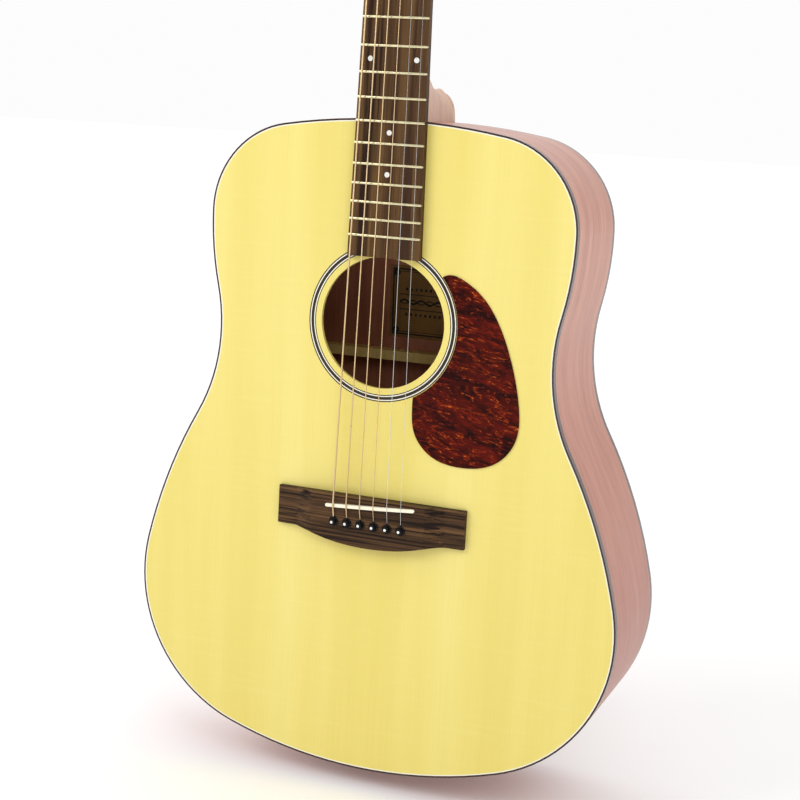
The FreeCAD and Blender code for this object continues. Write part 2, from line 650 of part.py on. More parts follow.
heel_cap = new_body("heel_cap_blank")
last = HEEL[-1]
cap_sketch = heel_section(heel_cap, "cap_outline", *last)
add_pad(heel_cap, cap_sketch, "Dims.cap_thickness", reverse=True)
keep(combine("Cut", "heel_cap_piece", heel_cap, ribs_out), "heel_cap")

bolts = []
for count, depth in enumerate(BOLT_DEPTHS):
    start = -size("block_length")
    shank = rod(f"bolt_shank_{count}", "Dims.bolt_radius", "38", (0, depth, start), (0, 0, 1))
    head_end = rod(f"bolt_head_{count}", "Dims.bolt_head_radius", "4", (0, depth, start - 4), (0, 0, 1))
    bolts.append(combine("Fuse", f"bolt_{count}", shank, head_end))
keep(gather("bolt_set", bolts), "neck_bolts")

ROD_END = -size("block_length") - 16
rod_bar = rod("rod_bar", "Dims.rod_radius", "390", (0, size("rod_depth"), -46), (0, 0, 1))
rod_thread = rod("rod_thread", "2", "16", (0, size("rod_depth"), ROD_END + 1), (0, 0, 1))
keep(combine("Fuse", "rod_piece", rod_bar, rod_thread), "truss_rod")
adjuster = new_body("adjuster")
adjuster_face = add_sketch(adjuster, "adjuster_face", "XY_Plane", str(ROD_END - 6))
draw_circle(adjuster_face, (0, size("rod_depth")), "Dims.rod_nut_radius")
add_pad(adjuster, adjuster_face, "20")
socket = add_sketch(adjuster, "key_socket", "XY_Plane", str(ROD_END - 6))
draw(socket, polygon([(2.3 * math.cos(math.radians(60 * k)),
                       size("rod_depth") + 2.3 * math.sin(math.radians(60 * k))) for k in range(6)]))
add_pocket(adjuster, socket, "6", reverse=True)
thread_hole = add_sketch(adjuster, "thread_hole", "XY_Plane", str(ROD_END - 1))
draw_circle(thread_hole, (0, size("rod_depth")), "2.06")
add_pocket(adjuster, thread_hole, "20", reverse=True)
keep(adjuster, "truss_rod_nut")

# ---------------------------------------------------------------- fingerboard, frets, nut
def taper(low, high, inset=0.0):
    """Fingerboard outline between two heights."""
    points = [(board_width(z) / 2 - inset, z) for z in (low, high)]
    return polygon([(-points[0][0], points[0][1]), points[0], points[1], (-points[1][0], points[1][1])])


def fret_z(number):
    return NUT_Z - size("scale_length") * (1 - 2 ** (-number / 12))


FRETS = [fret_z(number) for number in range(1, 21)]
DOTS = [(0, (fret_z(n) + fret_z(n - 1)) / 2) for n in (3, 5, 7, 9, 15, 17)]
DOTS += [(side * size("dot_spread") / 2, (fret_z(12) + fret_z(11)) / 2) for side in (-1, 1)]
crown_base = (0, size("board_radius") - size("board_thickness"), -150)
board_crown = rod("board_crown", "Dims.board_radius", "600", crown_base, (0, 0, 1))
tang_floor = rod("tang_floor", "Dims.board_radius - Dims.tang_depth", "600", crown_base, (0, 0, 1))
fret_crown = rod("fret_crown_top", "Dims.board_radius + Dims.fret_crown", "600", crown_base, (0, 0, 1))

board = new_body("board_blank")
slab(board, "board_outline", taper(-size("board_end"), NUT_Z), "-Dims.board_thickness",
     "Dims.board_thickness")
slot_lines = []
for z in FRETS:
    slot_lines += rectangle(-40, z - size("tang_width") / 2, 40, z + size("tang_width") / 2)
tangs = new_body("tang_rows")
slab(tangs, "tang_lines", slot_lines, "-9", "9")
tang_layer = combine("Cut", "tang_layer", tangs, tang_floor)
dot_rods = new_body("dot_rods")
dot_sketch = add_sketch(dot_rods, "dot_places", "XZ_Plane", "9")
for centre in DOTS:
    draw_circle(dot_sketch, centre, "Dims.dot_radius")
add_pad(dot_rods, dot_sketch, "9", reverse=True)
dot_floor = rod("dot_floor", "Dims.board_radius - Dims.dot_depth", "600", crown_base, (0, 0, 1))
dot_layer = combine("Cut", "dot_layer", dot_rods, dot_floor)
crowned = combine("Common", "crowned_board", board, board_crown)
slotted = combine("Cut", "slotted_board", crowned, tang_layer)
keep(combine("Cut", "fingerboard_piece", slotted, dot_layer), "fingerboard")
keep(combine("Common", "dot_piece", dot_layer, board_crown), "fret_markers")

fret_profile = new_body("fret_rows")
sketch = add_sketch(fret_profile, "fret_profiles", "YZ_Plane")
top = -size("board_thickness")
crown, wide, tang = size("fret_crown"), size("fret_width") / 2, size("tang_width") / 2
for z in FRETS:
    corners = [(top, z - wide), (top, z - tang), (top + size("tang_depth"), z - tang),
               (top + size("tang_depth"), z + tang), (top, z + tang), (top, z + wide)]
    bead = Part.Arc(Vector(top, z + wide, 0), Vector(top - crown, z, 0), Vector(top, z - wide, 0))
    draw(sketch, polygon(corners)[:-1] + [bead])
fret_axis = add_sketch(fret_profile, "fret_axis", "YZ_Plane")
centre_y = size("board_radius") - size("board_thickness")
draw(fret_axis, [Part.LineSegment(Vector(centre_y, -100, 0), Vector(centre_y, 300, 0))])
bent = fret_profile.newObject("PartDesign::Revolution", "fret_bend")
bent.Profile = sketch
bent.ReferenceAxis = (fret_axis, ["Edge1"])
bent.Midplane = True
bent.Angle = 10
fret_limit = new_body("fret_limit")
slab(fret_limit, "fret_limit_outline", taper(-size("board_end"), NUT_Z, 0.2), "-15", "15")
keep(combine("Common", "fret_piece", fret_profile, fret_limit), "frets")

NUT_X = [size("nut_spread") / 5 * (number - 2.5) for number in range(6)]
STRING_FLOOR = -7.9
nut = new_body("nut_body")
slab(nut, "nut_outline", rectangle(-size("nut_width") / 2, NUT_Z, size("nut_width") / 2, HEAD_Z),
     "-Dims.nut_top", "Dims.nut_top")
grooves = []
for x, radius in zip(NUT_X, STRING_RADIUS):
    grooves += rectangle(x - radius - 0.05, NUT_Z - 1, x + radius + 0.05, HEAD_Z + 1)
sink(nut, "nut_grooves", grooves, "-Dims.nut_top - 2", str(STRING_FLOOR + size("nut_top") + 2))
keep(nut, "nut")

# ---------------------------------------------------------------- headplate and tuners
headplate = new_body("headplate_body")
slab(headplate, "headplate_outline", head_outline(), "-Dims.veneer_thickness", "Dims.veneer_thickness")
drill(headplate, "headplate_bores", post_points, "4.6", "-5", "10")
headplate.Placement = HEAD
nut_clear = block("nut_clear", (-40, -30, NUT_Z), ("80", "60", "Dims.nut_length"))
keep(combine("Cut", "headplate_piece", headplate, nut_clear), "headplate")

bushings = new_body("bushing_body")
flange = add_sketch(bushings, "flanges", "XZ_Plane", "Dims.veneer_thickness")
sleeve = add_sketch(bushings, "sleeves", "XZ_Plane", "Dims.veneer_thickness")
bores = add_sketch(bushings, "bushing_bores", "XZ_Plane", "Dims.veneer_thickness + 5")
for centre in post_points:
    draw_circle(flange, centre, "5.6")
    draw_circle(sleeve, centre, "4.6")
    draw_circle(bores, centre, "Dims.post_radius + 0.06")
add_pad(bushings, flange, "1.8")
add_pad(bushings, sleeve, "8", reverse=True)
add_pocket(bushings, bores, "20")
bushings.Placement = HEAD
keep(bushings, "tuner_bushings")

# Tuner parts share a frame: origin on the post's axis at the headstock's back,
# x towards the button, y backwards, z along the headstock.
GEAR_RADIUS = size("gear_teeth") * size("gear_module") / 2
PITCH = math.pi * size("gear_module")
WORM_Z = -(GEAR_RADIUS + size("worm_radius"))
LEVEL = size("gear_level")
EAR_X = 6.8

plate = new_body("tuner_plate_master")
slab(plate, "plate_outline", rectangle(-10.2, -18.5, 8.2, 14), "0", "1.2")
ears = rectangle(-EAR_X - 1.4, WORM_Z - 3.6, -EAR_X, WORM_Z + 3.4)
ears += rectangle(EAR_X, WORM_Z - 3.6, EAR_X + 1.4, WORM_Z + 3.4)
slab(plate, "plate_ears", ears, "1", str(LEVEL + 3.2 - 1))
drill(plate, "plate_post_hole", [(0, 0)], "Dims.post_radius + 0.06", "-1", "5")
drill(plate, "plate_screw_holes", [(-1, 10), (-1, -14.5)], "1.1", "-1", "5")
ear_bore = add_sketch(plate, "ear_bores", "YZ_Plane", "-20")
draw_circle(ear_bore, (LEVEL, WORM_Z), "Dims.shaft_radius + 0.06")
add_pocket(plate, ear_bore, "40", reverse=True)

screw = new_body("screw_master")
screw_profile = add_sketch(screw, "screw_profile", "XY_Plane")
draw(screw_profile, [
    Part.LineSegment(Vector(0, -6, 0), Vector(0.4, -6, 0)),
    Part.LineSegment(Vector(0.4, -6, 0), Vector(1.1, -4.5, 0)),
    Part.LineSegment(Vector(1.1, -4.5, 0), Vector(1.1, 1.2, 0)),
    Part.LineSegment(Vector(1.1, 1.2, 0), Vector(2.1, 1.2, 0)),
    Part.Arc(Vector(2.1, 1.2, 0), Vector(1.5, 2.1, 0), Vector(0.5, 2.5, 0)),
    Part.LineSegment(Vector(0.5, 2.5, 0), Vector(0, 2.5, 0)),
    Part.LineSegment(Vector(0, 2.5, 0), Vector(0, -6, 0))])
turned_screw = screw.newObject("PartDesign::Revolution", "screw_turned")
turned_screw.Profile = screw_profile
turned_screw.ReferenceAxis = (screw_profile, ["V_Axis"])
turned_screw.Angle = 360

post = new_body("post_master")
front = -(size("head_thickness") + size("veneer_thickness") + size("post_height"))
half_gear = size("gear_width") / 2
post_face = add_sketch(post, "post_face", "XZ_Plane", str(-front))
draw_circle(post_face, (0, 0), "Dims.post_radius")
add_pad(post, post_face, str(LEVEL + half_gear - front + 0.6), reverse=True)
collar = add_sketch(post, "post_collar", "XZ_Plane", "-1.25")
draw_circle(collar, (0, 0), "4.2")
add_pad(post, collar, str(LEVEL - half_gear - 1.25), reverse=True)
eye = add_sketch(post, "string_eye", "YZ_Plane", "-5")
draw_circle(eye, (front + 3.4, 0), "0.9")
add_pocket(post, eye, "10", reverse=True)

wheel = new_body("wheel_master")
blank = add_sketch(wheel, "wheel_blank", "XZ_Plane", str(-(LEVEL - half_gear)))
root = GEAR_RADIUS - size("thread_height") - 0.25
draw_circle(blank, (0, 0), str(root))
draw_circle(blank, (0, 0), "Dims.post_radius")
add_pad(wheel, blank, "Dims.gear_width", reverse=True)
slant = PITCH / (2 * math.pi * size("worm_radius"))
tooth = add_sketch(wheel, "wheel_tooth", "XZ_Plane", str(-(LEVEL - half_gear)))
shift = slant * half_gear
foot, tip = size("tooth_width") / 2 + 0.3, size("tooth_width") / 2 - 0.25
draw(tooth, polygon([(shift - foot, -root + 0.3), (shift - tip, -GEAR_RADIUS - 0.7),
                     (shift + tip, -GEAR_RADIUS - 0.7), (shift + foot, -root + 0.3)]))
cut_tooth = add_pad(wheel, tooth, "Dims.gear_width")
cut_tooth.UseCustomVector = True
cut_tooth.Direction = Vector(-slant, 1, 0)
cut_tooth.AlongSketchNormal = True
teeth = wheel.newObject("PartDesign::PolarPattern", "wheel_teeth")
teeth.Originals = [cut_tooth]
teeth.Axis = (origin_part(wheel, "Y_Axis"), [""])
teeth.Angle = 360
teeth.Occurrences = int(size("gear_teeth"))
wheel.Tip = teeth

worm = new_body("worm_master")
spindle = add_sketch(worm, "spindle", "YZ_Plane", str(-EAR_X - 2.2))
draw_circle(spindle, (0, 0), "Dims.shaft_radius")
add_pad(worm, spindle, str(EAR_X + 2.2 + 26))
for name, low in (("inner_stop", -EAR_X + 0.15), ("outer_stop", EAR_X - 0.95)):
    stop = add_sketch(worm, name, "YZ_Plane", str(low))
    draw_circle(stop, (0, 0), "Dims.shaft_radius + 0.9")
    add_pad(worm, stop, "0.8")
thread = add_sketch(worm, "thread_profile", "XY_Plane")
begin = PITCH / 4 - 2 * PITCH
low, high = size("shaft_radius") - 0.3, size("worm_radius") + size("thread_height")
wide, thin = size("thread_width") / 2 + 0.3, size("thread_width") / 2 - 0.25
draw(thread, polygon([(begin - wide, low), (begin + wide, low), (begin + thin, high),
                      (begin - thin, high)]))
coil = worm.newObject("PartDesign::AdditiveHelix", "worm_thread")
coil.Profile = thread
coil.ReferenceAxis = (origin_part(worm, "X_Axis"), [""])
coil.Mode = 0
coil.Pitch = PITCH
coil.Height = 3.5 * PITCH
button = new_body("button_master")
oval = add_sketch(button, "button_oval", "XZ_Plane")
rim = Part.Ellipse(Vector(25, 9.5, 0), Vector(33, 0, 0), Vector(25, 0, 0))
draw(oval, [rim])
add_pad(button, oval, "7", both=True)
collar_face = add_sketch(button, "button_collar", "YZ_Plane", "14")
draw_circle(collar_face, (0, 0), "2.9")
add_pad(button, collar_face, "6")
shaft_bore = add_sketch(button, "shaft_bore", "YZ_Plane", "13")
draw_circle(shaft_bore, (0, 0), "Dims.shaft_radius")
add_pocket(button, shaft_bore, "13", reverse=True)
doc.recompute()


# ---------------------------------------------------------------- six tuners
def copy_of(name, source, place, mirrored):
    """Placed copy of a master solid, mirrored across x for the bass side."""
    twin = doc.addObject("Part::Mirroring", name) if mirrored else doc.addObject("Part::Compound", name)
    if mirrored:
        twin.Source = source
        twin.Normal = Vector(1, 0, 0)
    else:
        twin.Links = [source]
    holder = gather(name + "_placed", [twin])
    holder.Placement = place
    return holder


worm.Placement = Placement(Vector(0, LEVEL, WORM_Z), Rotation())
button.Placement = worm.Placement
plates, screws = [], []
for number, (x, z, side) in enumerate(POSTS, start=1):
    flip = side < 0
    place = HEAD * Placement(Vector(x, size("head_thickness"), z), Rotation())
    plates.append(copy_of(f"plate_{number}", plate, place, flip))
    for count, (dx, dz) in enumerate(((-1, 10), (-1, -14.5))):
        spot = place * Placement(Vector(side * dx, 0, dz), Rotation())
        screws.append(copy_of(f"screw_{number}_{count}", screw, spot, flip))
    keep(gather(f"post_set_{number}", [copy_of(f"post_{number}", post, place, flip),
                                       copy_of(f"wheel_{number}", wheel, place, flip)]),
         f"tuner_post_{number}")
    keep(gather(f"key_set_{number}", [copy_of(f"worm_{number}", worm, place, flip),
                                      copy_of(f"button_{number}", button, place, flip)]),
         f"tuner_key_{number}")
keep(gather("plate_set", plates), "tuner_plates")
keep(gather("screw_set", screws), "tuner_screws")

# ---------------------------------------------------------------- strings and windings
for number, (x, z, side) in enumerate(POSTS, start=1):
    radius = STRING_RADIUS[number - 1]
    turn = size("post_radius") + radius + 0.01
    rise = -(size("veneer_thickness") + 2.1)
    coils = []
    for layer in range(3):
        level = rise - radius - layer * (2 * radius + 0.04)
        loop = doc.addObject("Part::Torus", f"loop_{number}_{layer}")
        loop.Radius1 = turn
        loop.Radius2 = radius
        loop.Placement = HEAD * Placement(Vector(x, level, z), Rotation(Vector(1, 0, 0), 90))
        coils.append(loop)
    keep(gather(f"coil_{number}", coils), f"string_winding_{number}")

    level = rise - radius - 3 * (2 * radius + 0.04)
    saddle_x = size("saddle_spread") / 5 * (number - 3.5)
    saddle_y = -size("saddle_top") + saddle_x ** 2 / (2 * size("board_radius")) - radius
    saddle_z = -size("saddle_centre") + (saddle_x - 1.7) * math.tan(math.radians(size("saddle_slant")))
    pin_x = PIN_X[number - 1]
    drop_z = PIN_Z + SLOT_REACH - 0.3 - max(radius, 0.3)
    path = [HEAD.multVec(Vector(x - side * turn, level, z + 0.5)),
            Vector(NUT_X[number - 1], STRING_FLOOR - radius, HEAD_Z),
            Vector(saddle_x, saddle_y, saddle_z),
            Vector(pin_x, -size("bridge_height") - radius - 0.05, drop_z),
            Vector(pin_x, 5.6, drop_z)]
    spine = Part.makePolygon(path)
    start = Part.Wire(Part.makeCircle(radius, path[0], path[1] - path[0]))
    barrel = Part.makeCylinder(1.9, 3.8, Vector(pin_x - 1.9, 7.5, drop_z), Vector(1, 0, 0))
    string = doc.addObject("Part::Feature", f"string_solid_{number}")
    string.Shape = Part.makeCompound([spine.makePipeShell([start], True, False, 1), barrel])
    keep(string, f"string_{number}")

# ---------------------------------------------------------------- end pin
end_pin = new_body("end_pin_body")
pin_side = add_sketch(end_pin, "end_pin_profile", "YZ_Plane")
middle = size("depth_tail") / 2
shape = [(0, 30), (4.2, 30), (5, 0), (8, 0), (8, -1.8), (4.2, -3.4), (4, -9.5), (7, -11), (7.2, -13.5),
         (5.2, -15.2), (0, -15.6)]
draw(pin_side, polygon([(middle + r, TAIL_Z + z) for r, z in shape]))
pin_core = add_sketch(end_pin, "end_pin_axis", "YZ_Plane")
draw(pin_core, [Part.LineSegment(Vector(middle, TAIL_Z - 20, 0), Vector(middle, TAIL_Z + 40, 0))])
turned_pin = end_pin.newObject("PartDesign::Revolution", "end_pin_turned")
turned_pin.Profile = pin_side
turned_pin.ReferenceAxis = (pin_core, ["Edge1"])
turned_pin.Angle = 360
keep(end_pin, "end_pin")

# ---------------------------------------------------------------- row frame, checks and export
TO_ROW = Placement(Vector(0, -size("depth_tail") / 2, -TAIL_Z), Rotation())
for item in nodes:
    item.Placement = TO_ROW * item.Placement
doc.recompute()
for item in doc.Objects:
    if "Invalid" in item.State or "Error" in item.State:
        raise RuntimeError(f"{item.Name}: {item.State}")
for item in nodes:
    if item.Shape.isNull() or not item.Shape.isValid():
        raise RuntimeError(f"{item.Label} has no valid shape")
    item.Shape.exportStep(f"parts/{item.Label}.step")
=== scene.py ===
import json
import math

import bmesh
import bpy
from mathutils import Matrix, Vector


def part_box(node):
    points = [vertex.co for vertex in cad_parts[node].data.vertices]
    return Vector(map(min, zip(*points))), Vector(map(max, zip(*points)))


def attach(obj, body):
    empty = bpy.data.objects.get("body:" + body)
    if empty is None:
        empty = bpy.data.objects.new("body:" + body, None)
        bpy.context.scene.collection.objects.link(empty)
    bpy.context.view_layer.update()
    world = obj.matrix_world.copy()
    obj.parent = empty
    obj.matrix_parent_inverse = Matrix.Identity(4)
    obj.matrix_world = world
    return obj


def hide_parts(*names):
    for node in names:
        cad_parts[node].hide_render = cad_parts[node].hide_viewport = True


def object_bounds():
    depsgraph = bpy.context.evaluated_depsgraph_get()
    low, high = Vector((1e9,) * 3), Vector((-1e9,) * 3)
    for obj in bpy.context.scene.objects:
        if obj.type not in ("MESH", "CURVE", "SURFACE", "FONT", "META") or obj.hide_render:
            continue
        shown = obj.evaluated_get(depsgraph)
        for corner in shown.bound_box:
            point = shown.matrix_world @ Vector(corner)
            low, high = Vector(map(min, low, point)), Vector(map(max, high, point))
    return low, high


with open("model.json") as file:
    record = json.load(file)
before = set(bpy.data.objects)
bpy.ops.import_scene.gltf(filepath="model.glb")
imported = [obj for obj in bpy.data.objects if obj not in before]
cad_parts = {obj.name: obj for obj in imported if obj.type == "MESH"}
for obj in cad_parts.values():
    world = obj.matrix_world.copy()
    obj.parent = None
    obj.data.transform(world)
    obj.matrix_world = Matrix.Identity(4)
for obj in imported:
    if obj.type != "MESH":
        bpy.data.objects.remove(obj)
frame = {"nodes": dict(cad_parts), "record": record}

CAD_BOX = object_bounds()
NODES = frame["nodes"]
STRINGS = range(1, 7)
WOUND_STRINGS = 4
HEAD_TILT = math.radians(15)
TILT_COS, TILT_SIN = math.cos(HEAD_TILT), math.sin(HEAD_TILT)
HEAD_START = 0.8729     # height where the headstock starts to lean back
WHEEL_LEVEL = -0.2706   # along the posts; the brass wheels lie behind it
PIN_RADIUS = 0.0039
PIN_DOT_RADIUS = 0.00105
PIN_DOT_DEPTH = 0.0006
WRAP_PITCHES = (0.00042, 0.00036, 0.0003, 0.00024)
COIL_TURNS = 3.6
COIL_STEPS = 40         # points in one turn of a coil


# ---------------------------------------------------------------- node helpers
class Shader:
    """One Principled material, with short calls for its procedural nodes."""

    def __init__(self, name):
        self.mat = bpy.data.materials.new(name)
        self.mat.use_nodes = True
        self.tree = self.mat.node_tree
        self.tree.nodes.clear()
        self.out = self.tree.nodes.new("ShaderNodeOutputMaterial")
        self.bsdf = self.tree.nodes.new("ShaderNodeBsdfPrincipled")
        self.tree.links.new(self.bsdf.outputs[0], self.out.inputs[0])
        self.coords = self.tree.nodes.new("ShaderNodeTexCoord").outputs["Object"]

    def link(self, value, socket):
        if isinstance(value, bpy.types.NodeSocket):
            self.tree.links.new(value, socket)
        elif value is not None:
            if socket.type == "RGBA" and len(value) == 3:
                value = (*value, 1)
            socket.default_value = value

    def set(self, **values):
        """Base_Color=..., Roughness=... on the Principled socket of that name."""
        for key, value in values.items():
            self.link(value, self.bsdf.inputs[key.replace("_", " ")])

    def math(self, kind, a, b=None, c=None):
        node = self.tree.nodes.new("ShaderNodeMath")
        node.operation = kind
        for index, value in enumerate((a, b, c)):
            self.link(value, node.inputs[index])
        return node.outputs[0]

    def axes(self, vector=None):
        node = self.tree.nodes.new("ShaderNodeSeparateXYZ")
        self.link(vector or self.coords, node.inputs[0])
        return node.outputs

    def join(self, x=0.0, y=0.0, z=0.0):
        node = self.tree.nodes.new("ShaderNodeCombineXYZ")
        for index, value in enumerate((x, y, z)):
            self.link(value, node.inputs[index])
        return node.outputs[0]

    def straightened(self):
        """Coordinates that follow the neck and then the tilted headstock."""
        x, y, z = self.axes()
        past = self.math("MAXIMUM", self.math("SUBTRACT", z, HEAD_START), 0.0)
        lean = self.math("MULTIPLY", past, TILT_SIN / TILT_COS)
        return self.join(x, self.math("SUBTRACT", y, lean), z)

    def scaled(self, scale, vector=None):
        node = self.tree.nodes.new("ShaderNodeMapping")
        self.link(vector or self.coords, node.inputs["Vector"])
        node.inputs["Scale"].default_value = scale
        return node.outputs[0]

    def turned(self, degrees):
        """Coordinates turned about the front-to-back axis."""
        node = self.tree.nodes.new("ShaderNodeMapping")
        self.link(self.coords, node.inputs["Vector"])
        node.inputs["Rotation"].default_value = (0, math.radians(degrees), 0)
        return node.outputs[0]

    def noise(self, vector, scale=1.0, detail=3.0, rough=0.5, warp=0.0):
        node = self.tree.nodes.new("ShaderNodeTexNoise")
        self.link(vector, node.inputs["Vector"])
        node.inputs["Scale"].default_value = scale
        node.inputs["Detail"].default_value = detail
        node.inputs["Roughness"].default_value = rough
        node.inputs["Distortion"].default_value = warp
        return node.outputs["Fac"]

    def ramp(self, value, stops, smooth=False):
        """Colour ramp; stops are (position, grey or colour)."""
        node = self.tree.nodes.new("ShaderNodeValToRGB")
        node.color_ramp.interpolation = "EASE" if smooth else "LINEAR"
        points = node.color_ramp.elements
        while len(points) < len(stops):
            points.new(0.5)
        for point, (place, colour) in zip(points, stops):
            point.position = place
            point.color = (colour,) * 3 + (1,) if isinstance(colour, (int, float)) else (*colour, 1)
        self.link(value, node.inputs[0])
        return node.outputs[0]

    def mix(self, amount, a, b, kind="MIX"):
        node = self.tree.nodes.new("ShaderNodeMix")
        node.data_type = "RGBA"
        node.blend_type = kind
        self.link(amount, node.inputs[0])
        self.link(a, node.inputs[6])
        self.link(b, node.inputs[7])
        return node.outputs[2]

    def range(self, value, low, high, a=0.0, b=1.0):
        node = self.tree.nodes.new("ShaderNodeMapRange")
        self.link(value, node.inputs[0])
        for index, number in enumerate((low, high, a, b), start=1):
            node.inputs[index].default_value = number
        return node.outputs[0]

    def bump(self, height, strength, depth):
        node = self.tree.nodes.new("ShaderNodeBump")
        node.inputs["Strength"].default_value = strength
        node.inputs["Distance"].default_value = depth
        self.link(height, node.inputs["Height"])
        self.link(node.outputs[0], self.bsdf.inputs["Normal"])


def srgb(red, green, blue):
    """Linear colour from 0-255 display values."""
    def linear(level):
        level /= 255
        return level / 12.92 if level <= 0.04045 else ((level + 0.055) / 1.055) ** 2.4
    return (linear(red), linear(green), linear(blue))


# ---------------------------------------------------------------- materials
def spruce_top():
    """Book-matched spruce: fine year lines along the neck, cross silk and faint colour bands."""
    s = Shader("spruce_top")
    x, y, z = s.axes()
    away = s.math("ABSOLUTE", x)
    drift = s.noise(s.join(away, 0.0, z), 5, 2)
    across = s.math("ADD", away, s.math("MULTIPLY", drift, 0.006))
    packed = s.math("POWER", s.math("MULTIPLY", across, 5.0), 0.82)
    lines = s.math("FRACT", s.math("MULTIPLY", packed, 150))
    year = s.ramp(lines, [(0.0, 0.15), (0.55, 0.35), (0.86, 1.0), (1.0, 0.15)], True)
    fibre = s.noise(s.join(s.math("MULTIPLY", across, 900), 0.0, s.math("MULTIPLY", z, 9)), 1, 4, 0.6)
    silk = s.noise(s.join(s.math("MULTIPLY", away, 16), 0.0, s.math("MULTIPLY", z, 260)), 1, 3, 0.6)
    band = s.noise(s.join(s.math("MULTIPLY", across, 22), 0.0, s.math("MULTIPLY", z, 1.2)), 1, 2)
    base = s.mix(s.range(band, 0.3, 0.7), srgb(226, 208, 108), srgb(236, 221, 132))
    base = s.mix(s.math("MULTIPLY", year, 0.20), base, srgb(214, 184, 80))
    base = s.mix(s.math("MULTIPLY", s.range(silk, 0.52, 0.75), 0.09), base, srgb(246, 236, 168))
    base = s.mix(s.math("MULTIPLY", s.range(fibre, 0.45, 0.8), 0.14), base, srgb(214, 180, 90))
    rough = s.range(fibre, 0.2, 0.8, 0.30, 0.42)
    s.set(Base_Color=base, Roughness=rough, Coat_Weight=0.15, Coat_Roughness=0.2, Specular_IOR_Level=0.25)
    s.bump(s.mix(0.5, year, fibre), 0.12, 0.00004)
    return s.mat


def mahogany(name, grain, light, dark, gloss=0.25, coat=0.2, seam=False, neck=False, tail_shade=0.0):
    """Ribbon-striped mahogany with short dark pores.

    grain is the scale of the coordinates, seam mirrors the two halves of a book-matched plate,
    neck follows the tilted headstock, and the last argument is painted shade, darker towards the bottom of
    the body.
    """
    s = Shader(name)
    vector = s.straightened() if neck else s.coords
    if seam:
        x, y, z = s.axes()
        vector = s.join(s.math("ABSOLUTE", x), y, z)
    warp = s.noise(s.scaled((3, 3, 3), vector), 1, 2)
    slow = s.noise(s.scaled([g * 0.16 for g in grain], vector), 1, 3, 0.5, 0.6)
    stripe = s.noise(s.scaled(grain, vector), 1, 4, 0.55, 0.4)
    fine = s.noise(s.scaled([g * 4.5 for g in grain], vector), 1, 3, 0.65)
    pore_scale = [g * (9 if g > 20 else 12) for g in grain]
    pore = s.range(s.noise(s.scaled(pore_scale, vector), 1, 2, 0.5), 0.60, 0.70)
    base = s.mix(s.range(slow, 0.3, 0.7), light, [v * 0.88 for v in light])
    base = s.mix(s.range(stripe, 0.35, 0.7, 0.0, 0.75), base, dark)
    base = s.mix(s.math("MULTIPLY", s.range(fine, 0.4, 0.75), 0.35), base, [v * 0.7 for v in dark])
    base = s.mix(s.math("MULTIPLY", pore, 0.32), base, [v * 0.5 for v in dark])
    base = s.mix(s.range(warp, 0.35, 0.65, 0.0, 0.18), base, [min(1, v * 1.25) for v in light])
    # Painted shade: the colour darkens towards the bottom of the body, standing in for the dimmer studio
    # reflection there.
    painted_shade_colour = (dark[0] * 0.92, dark[1] * 0.66, dark[2] * 0.5)
    base = s.mix(s.range(s.axes()[2], 0.10, 0.38, tail_shade, 0.0), base, painted_shade_colour)
    s.set(Base_Color=base, Roughness=s.range(fine, 0.2, 0.8, gloss, gloss + 0.14),
          Coat_Weight=coat, Coat_Roughness=max(0.05, gloss * 0.5), Specular_IOR_Level=0.4)
    s.bump(s.math("SUBTRACT", 1.0, pore), 0.18, 0.00006)
    return s.mat


def rosewood(name, grain, light=(116, 86, 50), dark=(44, 27, 20), middle=(80, 55, 35)):
    """Dark streaked rosewood with open pores, oiled; colours are 0-255 display values."""
    s = Shader(name)
    vector = s.straightened()
    slow = s.noise(s.scaled([g * 0.35 for g in grain], vector), 1, 3, 0.5, 0.8)
    streak = s.noise(s.scaled(grain, vector), 1, 5, 0.6, 0.5)
    fine = s.noise(s.scaled([g * 5 for g in grain], vector), 1, 3, 0.6)
    pore_scale = [g * (7 if g > 30 else 10) for g in grain]
    pore = s.range(s.noise(s.scaled(pore_scale, vector), 1, 2), 0.62, 0.70)
    base = s.mix(s.range(streak, 0.42, 0.58), srgb(*dark), srgb(*light))
    base = s.mix(s.range(slow, 0.42, 0.60, 0.0, 0.5), base, srgb(*middle))
    base = s.mix(s.math("MULTIPLY", s.range(fine, 0.4, 0.7), 0.3), base, srgb(30, 18, 14))
    base = s.mix(s.math("MULTIPLY", pore, 0.7), base, srgb(16, 10, 8))
    s.set(Base_Color=base, Roughness=s.range(fine, 0.2, 0.8, 0.36, 0.56), Specular_IOR_Level=0.1)
    s.bump(s.math("SUBTRACT", 1.0, pore), 0.35, 0.0001)
    return s.mat


def tortoise():
    """Celluloid: dark red-brown with torn orange flecks running in slanting streaks."""
    s = Shader("tortoise")
    tilt = s.scaled((46, 46, 150), s.turned(-13))
    large = s.noise(tilt, 0.6, 3, 0.55, 1.2)
    torn = s.noise(tilt, 1.7, 6, 0.68, 1.8)
    spark = s.noise(tilt, 4.0, 5, 0.7, 1.5)
    patch = s.noise(s.scaled((22, 22, 30)), 1, 2)
    base = s.mix(s.range(large, 0.38, 0.62), srgb(32, 7, 6), srgb(84, 17, 9))
    base = s.mix(s.range(torn, 0.50, 0.64, 0.0, 0.85), base, srgb(128, 33, 10))
    hot = s.math("MULTIPLY", s.range(torn, 0.55, 0.69), s.range(spark, 0.50, 0.62))
    base = s.mix(s.math("MULTIPLY", hot, s.range(patch, 0.38, 0.56)), base, srgb(250, 136, 44))
    dark = s.noise(tilt, 1.3, 5, 0.65, 1.2)
    base = s.mix(s.range(dark, 0.52, 0.66, 0.0, 0.85), base, srgb(28, 7, 7))
    s.set(Base_Color=base, Roughness=s.range(patch, 0.2, 0.8, 0.10, 0.18),
          Specular_IOR_Level=0.05)
    s.bump(s.noise(s.scaled((30, 30, 30)), 1, 2), 0.05, 0.0002)
    return s.mat


